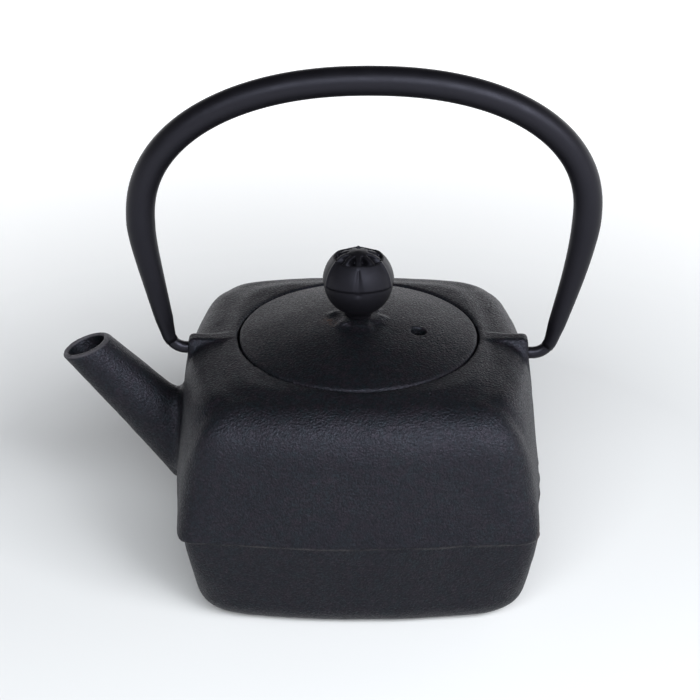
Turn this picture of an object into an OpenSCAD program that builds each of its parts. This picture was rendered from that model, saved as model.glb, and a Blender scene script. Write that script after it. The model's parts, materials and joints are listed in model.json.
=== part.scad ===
/* [Body] */
// Half width of the pot just above the casting seam
belly_half = 59.6; // [57:0.1:62]
// Half width of the pot just below the casting seam
seam_half = 58.8; // [56:0.1:61]
// Half width of the flat underside
base_half = 46; // [42:0.5:50]
// Height of the casting seam above the table
seam_z = 32.7; // [28:0.1:36]
// Height of the top of the four side panels
panel_z = 76.2; // [74:0.1:78]
// Radius that rounds each side panel over at the top
panel_r = 12; // [9:0.5:14]
// Height of the shoulder where it meets the lid
shoulder_z = 77; // [76:0.1:80]
// Wall thickness of the casting
wall = 3.2; // [2.5:0.1:4]

/* [Lid] */
// Radius of the lid
lid_r = 38.4; // [36:0.1:40]
// Rise of the lid from its edge to the middle
lid_rise = 6.2; // [4:0.1:8]
// Thickness of the lid
lid_t = 2.8; // [2:0.1:4]
// Diameter of the steam vent in the lid
vent_d = 5; // [3:0.1:6]
// Clearance around the lid in its seat
lid_gap = 0.6; // [0.4:0.05:1]

/* [Knob] */
// Radius of the bud-shaped knob
knob_r = 11.3; // [10:0.1:12.5]
// Radius of the knob's stem, which is riveted through the lid
stem_r = 2; // [1.5:0.1:2.5]

/* [Spout] */
// Angle of the spout above the table
spout_angle = 48; // [44:1:52]
// Outer radius of the spout at its mouth
spout_mouth_r = 7.7; // [6.5:0.1:9]
// Outer radius of the spout at its root
spout_root_r = 12.2; // [11:0.1:14]
// Wall thickness of the spout at its mouth
spout_wall = 1.5; // [1.2:0.1:2]

/* [Handle] */
// Height of the hinge line through the two lugs
hinge_z = 71.2; // [70:0.1:72.5]
// Height difference of each lug hole from the hinge line's middle
hinge_drop = 1; // [0:0.1:1.5]
// Half width of the handle's arch, to the middle of its tube
arch_half = 70.1; // [68:0.1:75]
// Height at which the arch is widest
arch_mid_z = 118.5; // [114:0.5:122]
// Rise of the arch above its widest height
arch_rise = 44.2; // [40:0.1:48]
// Outer radius of the handle's tube
tube_r = 4.4; // [4:0.1:5]
// Outer radius of the tube where it ends at each hook
tube_end_r = 2.5; // [2.4:0.05:2.8]
// Radius of the hook rod
rod_r = 1.9; // [1.7:0.05:2]
// Sideways lean of the arch, per unit of height
lean = 0.035; // [0:0.005:0.04]

/* [Infuser] */
// Outer radius of the infuser's mesh wall
basket_r = 32.6; // [28:0.1:33]
// Depth of the infuser below its rim
basket_depth = 42; // [30:1:44]

/* [Hidden] */

IRON = [0.17, 0.17, 0.19];
IRON_LID = [0.2, 0.2, 0.22];
IRON_GLOSS = [0.13, 0.13, 0.15];
STEEL = [0.75, 0.75, 0.76];

$fn = 96;

// Points around each horizontal ring of the body, and how strongly they gather at the corners
RING_POINTS = 48;
CORNER_CROWDING = 8;
// Roundness exponents and side bow of the panels, and of the shoulder that shows at the corners
PANEL_N = 8;
SHOULDER_N = 13;
SIDE_BOW = 0.05;
// Slope of the side panels, and of the lower half, per unit of height
PANEL_TAPER = 0.115;
LOWER_TAPER = 0.12;
// Rounded foot of the lower half: its height and its roundness exponent
FOOT_H = 9;
FOOT_N = 2.3;
FLOOR_T = 3.6;
// Extra wall thickness around the cavity, which has rounder corners than the outside
WALL_EXTRA = 1.2;
CAVITY_N = 6;

// Lid seat: a recess that the infuser rim and the lid lie in, around a round opening
SEAT_R = lid_r + lid_gap;
OPENING_R = basket_r + 1;
RIM_T = 0.8;
LID_EDGE_T = 3;
STACK_GAP = 0.2;
SEAT_Z = shoulder_z - LID_EDGE_T - RIM_T - STACK_GAP;
CAVITY_TOP_Z = SEAT_Z - wall;

// Half width and height of the shoulder and corner surface, from the seam up to the lid seat
SHOULDER_PROFILE = [
    [seam_z, 0.93 * belly_half],
    [panel_z - 22, 54.6],
    [panel_z - 9, 51.6],
    [panel_z - 3, 48.4],
    [panel_z - 1, 44.6],
    [shoulder_z, SEAT_R + 1]
];
// Heights of the body's rings: below the seam, and above it as shares of the upper half
LOWER_ZS = [0, 1, 2.5, 5, 9, 16, 24, seam_z];
UPPER_SHARES = [0, 0.21, 0.44, 0.625, 0.73, 0.81, 0.88, 0.9375, 0.977, 1];
SEAM_STEP_H = 0.6;

// Lugs: wedges that grow out of the shoulder and carry the hinge holes
LUG_X = 55.2;
LUG_TIP_X = 41;
LUG_TOP_Z = 76.2;
LUG_FOOT_Z = 61;
LUG_TOP_HALF = 2.6;
LUG_FOOT_HALF = 9;
LUG_END_T = 4;
HOLE_R = rod_r + 0.15;
HOLE_DEPTH = 7.2;
JOURNAL_R = rod_r + 0.05;
JOURNAL_IN = 6;
HINGE_TILT = atan(hinge_drop / LUG_X);

// Spout: the mouth's centre, and the frustum that runs from it into the body
SPOUT_MOUTH = [-88.6, 0, 73.2];
SPOUT_LEN = 52;
SPOUT_BORE_LEN = 58;
SPOUT_RATE = (spout_root_r - spout_mouth_r) / SPOUT_LEN;
BORE_RATE = 0.8 * SPOUT_RATE;
// The spout and its bore start this far above the mouth, which is then cut to its own angle
SPOUT_SPARE = 8;
MOUTH_CUT = 20;

// Lid: a dome with a skirt that fits inside the infuser, and a raised seat for the knob
LID_TOP_Z = shoulder_z + lid_rise;
LID_DOME_R = (lid_r * lid_r + lid_rise * lid_rise) / (2 * lid_rise);
SKIRT_R = basket_r - 1.8;
SKIRT_T = 2.5;
SKIRT_H = 5;
VENT_POS = [19, -7];
COLLAR_R = 9.5;
COLLAR_H = 1.2;
COLLAR_ROOT = 1.6;
BOSS_R = 7;
BOSS_H = 1;

// Knob: a bud whose stem turns loosely in the lid, held by a washer and a riveted end
KNOB_Z = shoulder_z + 18.9;
BUD_CUP_Z = 7.4;
BUD_STUB_H = 10.2;
RIVET_PLAY = 0.1;
RIVET_H = 1.5;
WASHER_T = 0.8;
WASHER_R = 5.5;
WASHER_Z = LID_TOP_Z - lid_t - BOSS_H - RIVET_PLAY - WASHER_T;

// Handle path: the leg leans in below the arch, then bends into the hook
ARCH_N = 2.2;
LEG_SLOPE = 0.25;
LEG_SOFT = 12;
BEND_R = 6;
BEND_ANGLE = atan(LEG_SLOPE);
BEND_START_Z = hinge_z + BEND_R * (1 - sin(BEND_ANGLE));
TUBE_SIDES = 12;
TUBE_WALL = 1;
BORE_END_R = rod_r + 0.06;
ROD_INSIDE = 9;

// Infuser: a rolled rim with a collar, a mesh wall and floor, and a ring around the floor
RIM_Z = SEAT_Z + 0.05;
RIM_R = lid_r - 0.2;
COLLAR_T = 0.6;
RIM_COLLAR_H = 5;
MESH_T = 0.5;
BASE_RING_H = 4;
BASE_LIP_T = 0.8;
BASE_LIP_W = 3;
BASKET_FLOOR_Z = RIM_Z - basket_depth;

function lerp(a, b, t) = a + (b - a) * t;
function clamp01(t) = min(1, max(0, t));

// Radius of a bowed square of half width 1 with rounded corners, in direction a
function plan(a, n, bow) =
    (1 - bow * pow(abs(sin(2 * a)), 3)) / pow(pow(abs(cos(a)), n) + pow(abs(sin(a)), n), 1 / n);

// Direction of ring point i, crowded towards the four corners
function ring_angle(i) =
    let (t = 360 * i / RING_POINTS)
    t + CORNER_CROWDING * sin(4 * t);

// Half width of the lower casting half: a tapered side over a rounded foot
function lower_half(z) =
    let (side = seam_half - LOWER_TAPER * (seam_z - z))
    let (t = clamp01(1 - z / FOOT_H))
    lerp(base_half, side, pow(1 - pow(t, FOOT_N), 1 / FOOT_N));

// Half width of the side panels: a tapered side that rolls over at the top
function panel_half(z) =
    let (side = belly_half - PANEL_TAPER * (z - seam_z))
    let (up = max(0, z - (panel_z - panel_r)))
    side - panel_r + sqrt(max(0, panel_r * panel_r - up * up));

// The panels stand out in the middle of each side, the shoulder surface only at the corners
function upper_r(a, z) =
    max(
        panel_half(z) * plan(a, PANEL_N, SIDE_BOW),
        lookup(z, SHOULDER_PROFILE) * plan(a, SHOULDER_N, SIDE_BOW)
    );
function lower_r(a, z) = lower_half(z) * plan(a, PANEL_N, SIDE_BOW);
function cavity_r(a, z) =
    let (half = (z < seam_z) ? lower_half(max(z, 3)) : panel_half(min(z + 1, panel_z)))
    (half - wall - WALL_EXTRA) * plan(a, CAVITY_N, SIDE_BOW);

function ring_at(z, kind) =
    [for (i = [0 : RING_POINTS - 1])
        let (a = ring_angle(i))
        let (r = (kind == "lower") ? lower_r(a, z) : (kind == "upper") ? upper_r(a, z) : cavity_r(a, z))
        [r * cos(a), r * sin(a), z]];
function round_ring(r, z) =
    [for (i = [0 : RING_POINTS - 1]) [r * cos(ring_angle(i)), r * sin(ring_angle(i)), z]];

// Closed solid through a stack of rings that all have the same number of points
module loft(rings) {
    n = len(rings[0]);
    m = len(rings);
    bottom = [for (i = [0 : n - 1]) i];
    top = [for (i = [n - 1 : -1 : 0]) (m - 1) * n + i];
    sides = [for (j = [0 : m - 2]) for (i = [0 : n - 1])
        let (a = j * n + i, b = j * n + (i + 1) % n)
        each [[a, a + n, b + n], [a, b + n, b]]];
    polyhedron(points = [for (r = rings) each r], faces = concat([bottom, top], sides));
}

// ---- Body: one casting with its spout and lugs ----

module body_outside() {
    from_z = seam_z + SEAM_STEP_H;
    to_z = panel_z - 0.4;
    loft(concat(
        [for (z = LOWER_ZS) ring_at(z, "lower")],
        [for (share = UPPER_SHARES) ring_at(lerp(from_z, to_z, share), "upper")],
        [round_ring(SEAT_R + 1, shoulder_z)]
    ));
}

module body_cavity() {
    top = CAVITY_TOP_Z;
    loft([for (z = [FLOOR_T, 5.5, 9, 18, seam_z + 1, 46, 56, 62, top - 3, top]) ring_at(z, "cavity")]);
}

module spout_place() {
    translate(SPOUT_MOUTH) rotate([0, 90 + spout_angle, 0]) children();
}

module spout_cone(mouth_r, rate, length) {
    spout_place() translate([0, 0, -SPOUT_SPARE])
        cylinder(h = length + SPOUT_SPARE, r1 = mouth_r - SPOUT_SPARE * rate, r2 = mouth_r + length * rate);
}

module spout_outside() {
    difference() {
        spout_cone(spout_mouth_r, SPOUT_RATE, SPOUT_LEN);
        translate(SPOUT_MOUTH) rotate([0, -MOUTH_CUT, 0]) translate([-20, -20, 0]) cube([40, 40, 40]);
    }
}

module spout_bore() {
    spout_cone(spout_mouth_r - spout_wall, BORE_RATE, SPOUT_BORE_LEN);
}

// A wedge with a narrow level ridge, widest at its outer end; side is -1 at the spout, 1 at the rear
module lug(side) {
    hull() {
        translate([side * (LUG_X - LUG_END_T / 2), 0, 0]) rotate([90, 0, 90])
            linear_extrude(LUG_END_T, center = true)
                polygon([
                    [-LUG_TOP_HALF, LUG_TOP_Z], [LUG_TOP_HALF, LUG_TOP_Z],
                    [LUG_FOOT_HALF, LUG_FOOT_Z], [-LUG_FOOT_HALF, LUG_FOOT_Z]
                ]);
        translate([side * LUG_TIP_X, 0, LUG_TOP_Z - 3]) rotate([90, 0, 90])
            linear_extrude(1, center = true)
                polygon([[-LUG_TOP_HALF, 0], [LUG_TOP_HALF, 0], [1, 3], [-1, 3]]);
    }
}

// A cylinder along the hinge line, from x0 to x1 measured along that line
module along_hinge(x0, x1, r) {
    translate([0, 0, hinge_z]) rotate([0, 90 + HINGE_TILT, 0])
        translate([0, 0, x0]) cylinder(h = x1 - x0, r = r);
}

module pot_body() {
    color(IRON)
    difference() {
        union() {
            body_outside();
            spout_outside();
            lug(-1);
            lug(1);
        }
        body_cavity();
        spout_bore();
        translate([0, 0, SEAT_Z]) cylinder(h = 10, r = SEAT_R);
        translate([0, 0, CAVITY_TOP_Z - 2]) cylinder(h = 20, r = OPENING_R);
        along_hinge(LUG_X - HOLE_DEPTH, LUG_X + 5, HOLE_R);
        along_hinge(-LUG_X - 5, -LUG_X + HOLE_DEPTH, HOLE_R);
    }
}

// ---- Lid, with its cast seat for the knob and its locating skirt ----

function dome_z(r) = LID_TOP_Z - LID_DOME_R + sqrt(LID_DOME_R * LID_DOME_R - r * r);

module lid() {
    top = [for (r = [0 : 3.2 : lid_r - 0.2]) [r, dome_z(r)]];
    under = [for (r = [SKIRT_R - SKIRT_T : -3.5 : 0]) [r, dome_z(r) - lid_t]];
    edge_z = shoulder_z - LID_EDGE_T;
    color(IRON_LID)
    difference() {
        union() {
            rotate_extrude() polygon(concat(
                top,
                [
                    [lid_r, shoulder_z - 0.4], [lid_r, edge_z], [SKIRT_R, edge_z],
                    [SKIRT_R, edge_z - SKIRT_H], [SKIRT_R - SKIRT_T, edge_z - SKIRT_H]
                ],
                under,
                [[0, LID_TOP_Z - lid_t]]
            ));
            translate([0, 0, LID_TOP_Z - COLLAR_ROOT])
                cylinder(h = COLLAR_ROOT + COLLAR_H, r1 = COLLAR_R, r2 = COLLAR_R - COLLAR_ROOT);
            translate([0, 0, LID_TOP_Z - lid_t - BOSS_H]) cylinder(h = 2 * BOSS_H, r = BOSS_R);
        }
        translate([0, 0, LID_TOP_Z - 10]) cylinder(h = 20, r = stem_r + RIVET_PLAY);
        translate([VENT_POS.x, VENT_POS.y, LID_TOP_Z - 12]) cylinder(h = 20, d = vent_d);
    }
}

module lid_knob() {
    color(IRON_GLOSS)
    difference() {
        union() {
            intersection() {
                translate([0, 0, KNOB_Z]) sphere(r = knob_r);
                translate([-20, -20, LID_TOP_Z + COLLAR_H + RIVET_PLAY]) cube([40, 40, 40]);
            }
            translate([0, 0, WASHER_Z - RIVET_H]) cylinder(h = KNOB_Z - WASHER_Z, r = stem_r);
            translate([0, 0, WASHER_Z - RIVET_H])
                cylinder(h = RIVET_H, r1 = stem_r + 0.2, r2 = stem_r + 1.2);
        }
        difference() {
            translate([0, 0, KNOB_Z + BUD_CUP_Z]) cylinder(h = 10, r1 = 6.6, r2 = 8.4);
            translate([0, 0, KNOB_Z]) cylinder(h = BUD_STUB_H, r1 = 4.5, r2 = 3);
        }
    }
}

module knob_washer() {
    color(STEEL)
    translate([0, 0, WASHER_Z])
    difference() {
        cylinder(h = WASHER_T, r = WASHER_R);
        translate([0, 0, -1]) cylinder(h = 3, r = stem_r + RIVET_PLAY);
    }
}

// ---- Handle: a tube swaged down over two hook rods ----

// Half path from the hook (s = 0) over the leg to the top of the arch (s = 1), before the lean
function leg_x(z) =
    arch_half - LEG_SLOPE * (sqrt(pow(arch_mid_z - z, 2) + LEG_SOFT * LEG_SOFT) - LEG_SOFT);
BEND_X = leg_x(BEND_START_Z) - BEND_R * cos(BEND_ANGLE);
function bend_point(a) = [BEND_X + BEND_R * sin(a), hinge_z + BEND_R * (1 - cos(a))];
function arch_point(a) =
    [arch_half * pow(cos(a), 2 / ARCH_N), arch_mid_z + arch_rise * pow(sin(a), 2 / ARCH_N)];

BEND_STEPS = [for (a = [0 : 15 : 90 - BEND_ANGLE]) bend_point(a)];
LEG_STEPS = [for (t = [0 : 1 / 7 : 0.99])
    let (z = lerp(BEND_START_Z, arch_mid_z, t))
    [leg_x(z), z]];
ARCH_STEPS = [for (a = [0, 7, 14, 21, 28, 36, 45, 54, 62, 70, 76, 81, 85.5]) arch_point(a)];

// The lean shifts the arch sideways; the hook drop fades out up the legs
function placed(p, side) =
    let (fade = clamp01(1 - (p[1] - hinge_z) / (arch_mid_z - hinge_z)))
    [side * p[0] + lean * (p[1] - hinge_z), 0, p[1] - side * hinge_drop * fade * p[0] / LUG_X];

TOP_POINT = [0, arch_mid_z + arch_rise];
TUBE_FROM = 4;
ROD_POINTS = concat(BEND_STEPS, [for (p = LEG_STEPS) if (p[1] < BEND_START_Z + ROD_INSIDE) p]);
HALF_TUBE = [for (i = [TUBE_FROM : len(BEND_STEPS) - 1]) BEND_STEPS[i]];
TUBE_POINTS = concat(
    [for (p = concat(HALF_TUBE, LEG_STEPS, ARCH_STEPS)) placed(p, -1)],
    [placed(TOP_POINT, 1)],
    [for (i = [len(ARCH_STEPS) - 1 : -1 : 0]) placed(ARCH_STEPS[i], 1)],
    [for (i = [len(LEG_STEPS) - 1 : -1 : 0]) placed(LEG_STEPS[i], 1)],
    [for (i = [len(HALF_TUBE) - 1 : -1 : 0]) placed(HALF_TUBE[i], 1)]
);
function tube_radius(p) =
    lerp(tube_end_r, tube_r, clamp01((p[2] - hinge_z - 3) / (arch_mid_z - hinge_z - 6)));
function bore_radius(p) = max(BORE_END_R, tube_radius(p) - TUBE_WALL);

function unit(v) = v / norm(v);
function tangent(pts, i) =
    unit(pts[min(i + 1, len(pts) - 1)] - pts[max(i - 1, 0)]);
// Ring of points around path point i, in the plane across the path
function path_ring(pts, i, r) =
    let (t = tangent(pts, i), side = [t[2], 0, -t[0]])
    [for (k = [0 : TUBE_SIDES - 1])
        let (a = 360 * k / TUBE_SIDES)
        pts[i] + r * (cos(a) * side + sin(a) * [0, 1, 0])];

// Hollow tube along a path: an outer skin, a bore and two end rings in one closed solid
module hollow_sweep(pts) {
    m = len(pts);
    n = TUBE_SIDES;
    outer = [for (i = [0 : m - 1]) each path_ring(pts, i, tube_radius(pts[i]))];
    bore = [for (i = [0 : m - 1]) each path_ring(pts, i, bore_radius(pts[i]))];
    skin = [for (j = [0 : m - 2]) for (i = [0 : n - 1])
        let (a = j * n + i, b = j * n + (i + 1) % n)
        each [[a, a + n, b + n], [a, b + n, b]]];
    inside = [for (j = [0 : m - 2]) for (i = [0 : n - 1])
        let (a = (m + j) * n + i, b = (m + j) * n + (i + 1) % n)
        each [[a, b + n, a + n], [a, b, b + n]]];
    first = [for (i = [0 : n - 1])
        let (j = (i + 1) % n)
        each [[i, j, m * n + j], [i, m * n + j, m * n + i]]];
    last = [for (i = [0 : n - 1])
        let (a = (m - 1) * n + i, b = (m - 1) * n + (i + 1) % n)
        each [[a, a + m * n, b + m * n], [a, b + m * n, b]]];
    polyhedron(points = concat(outer, bore), faces = concat(skin, inside, first, last));
}

module solid_sweep(pts, r) {
    loft([for (i = [0 : len(pts) - 1]) path_ring(pts, i, r)]);
}

module handle_tube() {
    color(IRON_GLOSS) hollow_sweep(TUBE_POINTS);
}

// Hook rod: a journal in the lug, the bend, and a shank welded inside the tube's end
module handle_hook(side) {
    color(IRON_GLOSS)
    union() {
        solid_sweep([for (p = ROD_POINTS) placed(p, side)], rod_r);
        if (side > 0) {
            along_hinge(LUG_X - JOURNAL_IN, BEND_X + 0.4, JOURNAL_R);
        } else {
            along_hinge(-BEND_X - 0.4, -LUG_X + JOURNAL_IN, JOURNAL_R);
        }
    }
}

module handle_hook_spout_side() {
    handle_hook(-1);
}

module handle_hook_rear_side() {
    handle_hook(1);
}

// ---- Infuser: a mesh basket that hangs in the lid seat ----

module infuser_rim() {
    color(STEEL)
    translate([0, 0, RIM_Z])
    difference() {
        union() {
            cylinder(h = RIM_T, r = RIM_R);
            translate([0, 0, -RIM_COLLAR_H]) cylinder(h = RIM_COLLAR_H + RIM_T / 2, r = basket_r + COLLAR_T);
        }
        translate([0, 0, -10]) cylinder(h = 20, r = basket_r);
    }
}

module infuser_wall() {
    color(STEEL)
    translate([0, 0, BASKET_FLOOR_Z])
    difference() {
        cylinder(h = basket_depth - 0.5, r = basket_r);
        translate([0, 0, -1]) cylinder(h = basket_depth + 2, r = basket_r - MESH_T);
    }
}

module infuser_floor() {
    color(STEEL)
    translate([0, 0, BASKET_FLOOR_Z]) cylinder(h = MESH_T, r = basket_r - MESH_T);
}

module infuser_base_ring() {
    color(STEEL)
    translate([0, 0, BASKET_FLOOR_Z - BASE_LIP_T])
    difference() {
        cylinder(h = BASE_RING_H, r = basket_r + COLLAR_T);
        translate([0, 0, BASE_LIP_T]) cylinder(h = 10, r = basket_r);
        translate([0, 0, -1]) cylinder(h = 10, r = basket_r - BASE_LIP_W);
    }
}

pot_body();
lid();
lid_knob();
knob_washer();
handle_tube();
handle_hook_spout_side();
handle_hook_rear_side();
infuser_rim();
infuser_wall();
infuser_floor();
infuser_base_ring();
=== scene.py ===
"""The looks of a square cast iron teapot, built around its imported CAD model.

The shape functions work in millimetres, in the frame's axes; meshes are made in metres.
A shape function is a field: negative inside the iron, zero on its skin, about a distance elsewhere.
"""
import json
import math

import bpy
import numpy as np
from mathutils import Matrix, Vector


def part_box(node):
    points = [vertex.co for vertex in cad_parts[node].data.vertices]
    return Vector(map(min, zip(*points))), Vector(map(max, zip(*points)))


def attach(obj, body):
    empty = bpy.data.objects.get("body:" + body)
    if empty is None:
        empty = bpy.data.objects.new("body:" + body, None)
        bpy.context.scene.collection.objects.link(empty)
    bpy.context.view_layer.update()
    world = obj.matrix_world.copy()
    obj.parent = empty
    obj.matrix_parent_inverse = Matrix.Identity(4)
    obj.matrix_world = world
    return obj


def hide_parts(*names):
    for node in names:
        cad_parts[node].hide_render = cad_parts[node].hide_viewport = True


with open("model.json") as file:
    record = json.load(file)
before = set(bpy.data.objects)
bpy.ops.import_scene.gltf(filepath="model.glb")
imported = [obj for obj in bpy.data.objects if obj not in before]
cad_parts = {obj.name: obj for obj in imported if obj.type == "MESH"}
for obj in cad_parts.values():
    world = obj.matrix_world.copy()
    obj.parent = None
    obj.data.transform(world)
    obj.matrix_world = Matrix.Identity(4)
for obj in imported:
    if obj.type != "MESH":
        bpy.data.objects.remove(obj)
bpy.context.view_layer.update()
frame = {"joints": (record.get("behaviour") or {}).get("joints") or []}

MM = 0.001


def mm_box(node):
    """Lowest and highest corner of a CAD node, in millimetres."""
    low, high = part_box(node)
    return np.array(low) / MM, np.array(high) / MM


# ---- Sizes, from the frame where it holds them ----

BODY_HIGH = mm_box("pot_body")[1]
LID_LOW, LID_HIGH = mm_box("lid")
KNOB_LOW, KNOB_HIGH = mm_box("lid_knob")
RIM_LOW, RIM_HIGH = mm_box("infuser_rim")
WALL_LOW, WALL_HIGH = mm_box("infuser_wall")
WASHER_LOW, WASHER_HIGH = mm_box("knob_washer")

# Body: a tapered lower half, a seam, and an upper half with four panels under a shoulder
SEAM_Z = 32.7
CLEAR_OF_BOX = 0.02
BELLY_HALF = BODY_HIGH[1] - CLEAR_OF_BOX
SEAM_HALF = BELLY_HALF - 0.8
SIDE_TAPER, FOOT_TAPER = 0.115, 0.12
FOOT_R = 8.5
PLAN_BOW = 0.05
# The halves of the mould were a little out of line: each half's own shift along X
UPPER_SHIFT, LOWER_SHIFT = 0.1, 0.75
# Panels: height of their top, where it starts to dip inwards, and how softly they round over
PANEL_Z = 75.7
CREASE_HALF = 46
PANEL_SOFT, FRONT_SOFTER = 11.5, 4.5
SHOULDER_Z = BODY_HIGH[2]
SHOULDER_IN = 1.3
SHOULDER_R = 8
SHOULDER_SLOPE = 0.33
# Inside: the lid's seat, the round opening, and the hollow with its walls
SEAT_FLOOR_Z = 73
SEAT_R = LID_HIGH[0] + 0.6
OPENING_R = WALL_HIGH[0] + 1
CAVITY_TOP_Z = SEAT_FLOOR_Z - 3.2
FLOOR_THICK, WALL_THICK = 3.6, 4.4
CAVITY_R = 8

# Spout: from the middle of its mouth down into the body
SPOUT_MOUTH = np.array([-88.6, 0, 73.2])
SPOUT_ANGLE = math.radians(48)
SPOUT_AXIS = np.array([math.cos(SPOUT_ANGLE), 0, -math.sin(SPOUT_ANGLE)])
MOUTH_CUT = math.radians(20)
MOUTH_R = 7.65
SPOUT_FLARE, BORE_FLARE = 0.06, 0.05
SPOUT_WALL = 1.8
SPOUT_LENGTH = 54
BORE_LENGTH = 58

# Lugs and the hinge line, which tilts a little because one lug's hole is lower than the other's
HINGE = next(j for j in frame["joints"] if j["name"] == "handle_swing")
HINGE_Z = HINGE["pos_m"][2] / MM
HINGE_MIDDLE = (0, 0, HINGE_Z)
HINGE_DIRECTION = np.array(HINGE["axis"])
LUG_X = 54.8
LUG_INNER_X = 40.5
LUG_Z = 76.2
LUG_FOOT_Z = 61
LUG_RIDGE_HALF, LUG_FLARE = 2.35, 0.43
HOLE_R = 2.05
HOLE_DEPTH = 7.2

# Knob
KNOB_R = KNOB_HIGH[0]
KNOB_Z = 95.75


# ---- Fields ----

def soft_min(a, b, k):
    """The smaller of a and b, with the corner between them filled over a width k."""
    h = np.clip(0.5 + 0.5 * (b - a) / k, 0, 1)
    return b + (a - b) * h - k * h * (1 - h)


def soft_max(a, b, k):
    return -soft_min(-a, -b, k)


def soft_plus(t, k):
    """t where it's above zero, else zero, with a smooth turn about k wide."""
    return k * np.logaddexp(0, t / k)


def step_up(t, low, high):
    """0 below low, 1 above high, smooth between."""
    s = np.clip((t - low) / (high - low), 0, 1)
    return s * s * (3 - 2 * s)


def round_meet(a, b, radius):
    """What is inside both a and b, with the edge between them rounded to radius."""
    corner = np.hypot(np.maximum(a + radius, 0), np.maximum(b + radius, 0)) - radius
    return corner + np.minimum(np.maximum(a + radius, b + radius), 0)


def panel_power(y, z):
    """How square the plan is through the panels: less so towards the top, and behind."""
    near_top = step_up(z, 60, 76)
    return 18 - 6 * step_up(z, 34, 50) - near_top * (2 + 3 * step_up(y, 0, 40))


def shoulder_power(z):
    return 12 - 6.5 * step_up(z, 48, 73)


def half_width(x, y, n):
    """Half width of the square with bowed sides and round corners that goes through (x, y).

    The larger n is, the tighter are the corners."""
    r = np.maximum(np.hypot(x, y), 1e-6)
    c, s = np.abs(x) / r, np.abs(y) / r
    return r * (c**n + s**n) ** (1 / n) / (1 - PLAN_BOW * (2 * c * s) ** 3)


def waves(x, y, z, size, seed=0):
    """Slow uneven waves from about -1 to 1, of about that size in millimetres."""
    total = 0
    for i in range(7):
        turn, tilt = 2.4 * (i + seed), math.acos(1 - 2 * (i + 0.5) / 7)
        level = math.sin(tilt)
        slant = x * level * math.cos(turn) + y * level * math.sin(turn) + z * math.cos(tilt)
        total = total + np.sin(slant * math.tau / (size * (0.8 + 0.07 * i)) + 1.9 * i + seed)
    return total / 4


def lower_half(x, y, z):
    w = half_width(x - LOWER_SHIFT, y, 8 + 8 * step_up(z, 4, 32))
    side = w - (SEAM_HALF - FOOT_TAPER * (SEAM_Z - z))
    return round_meet(side, -z, FOOT_R)


def upper_width(x, y, z, n):
    """Half width of the upper half's plan; its top stands a little nearer to the spout."""
    return half_width(x + UPPER_SHIFT + 0.3 * step_up(z, 55, 75), y, n)


def upper_side(w, y, z):
    """The upper half's sloping sides, a little slimmer behind near the top."""
    slimmer = 1.2 * step_up(y, -15, 40) * step_up(z, 50, 72)
    return w - (BELLY_HALF - SIDE_TAPER * (z - SEAM_Z)) + slimmer


def panel_block(x, y, z):
    """The upper half's four panels, with a groove between neighbours at each corner."""
    w = upper_width(x, y, z, panel_power(y, z))
    # The groove leaves the corner towards the side as it goes down, and fades out
    off_groove = (np.abs(x) - np.abs(y)) / math.sqrt(2) - 1 - 0.38 * (73.5 - z)
    fall = np.exp((1.6 - np.hypot(off_groove, 1.6)) / np.where(off_groove < 0, 4.5, 8))
    groove = (2.9 - 1.4 * step_up(y, -10, 20)) * step_up(z, 48, 73) * fall
    top = z - PANEL_Z + 0.14 * soft_plus(CREASE_HALF - w, 0.35)
    facing = step_up(-y - np.abs(x), -6, 16)
    return soft_max(upper_side(w, y, z) + groove, top, PANEL_SOFT + FRONT_SOFTER * facing)


def shoulder_block(x, y, z):
    """The shoulder around the lid, which runs out under the panels."""
    w = upper_width(x, y, z, shoulder_power(z))
    side = upper_side(w, y, z) + SHOULDER_IN
    top = z - SHOULDER_Z + SHOULDER_SLOPE * soft_plus(w - SEAT_R - 0.6, 0.6)
    return round_meet(side, top / math.hypot(1, SHOULDER_SLOPE), SHOULDER_R)


def along(x, y, z, start, axis):
    """Distance along an axis in the XZ plane from its start, and distance from it."""
    px, pz = x - start[0], z - start[2]
    t = px * axis[0] + pz * axis[2]
    return t, np.sqrt(np.maximum(px * px + y * y + pz * pz - t * t, 0))


def spout_outside(x, y, z):
    t, off = along(x, y, z, SPOUT_MOUTH, SPOUT_AXIS)
    radius = MOUTH_R + SPOUT_FLARE * t + 0.0003 * np.maximum(t, 0) ** 2
    cone = (off - radius) * 0.99
    mouth = (z - SPOUT_MOUTH[2]) * math.cos(MOUTH_CUT) - (x - SPOUT_MOUTH[0]) * math.sin(MOUTH_CUT)
    return soft_max(soft_max(cone, mouth, 1.3), t - SPOUT_LENGTH, 2)


def spout_bore(x, y, z):
    t, off = along(x, y, z, SPOUT_MOUTH, SPOUT_AXIS)
    return np.maximum(off - (MOUTH_R - SPOUT_WALL + BORE_FLARE * t), t - BORE_LENGTH)


def lug(x, y, z, side):
    """A wedge that grows out of the shoulder, with a narrow level ridge and a flat outer end."""
    u = side * x
    ridge = z - LUG_Z
    flank = (np.abs(y) - (LUG_RIDGE_HALF + LUG_FLARE * (LUG_Z - z))) * 0.92
    end = (u - LUG_X - 0.06 * (LUG_Z - z)) * 0.998
    foot = (LUG_FOOT_Z - z + 0.55 * (LUG_X - u)) * 0.85
    body = soft_max(soft_max(ridge, flank, 0.7), end, 1.6)
    return soft_max(soft_max(body, LUG_INNER_X - u, 1), foot, 1)


def side_half(z):
    """Half width of the body's middle section, above or below the seam."""
    return np.where(
        z < SEAM_Z, SEAM_HALF - FOOT_TAPER * (SEAM_Z - z), BELLY_HALF - SIDE_TAPER * (z - SEAM_Z)
    )


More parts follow.
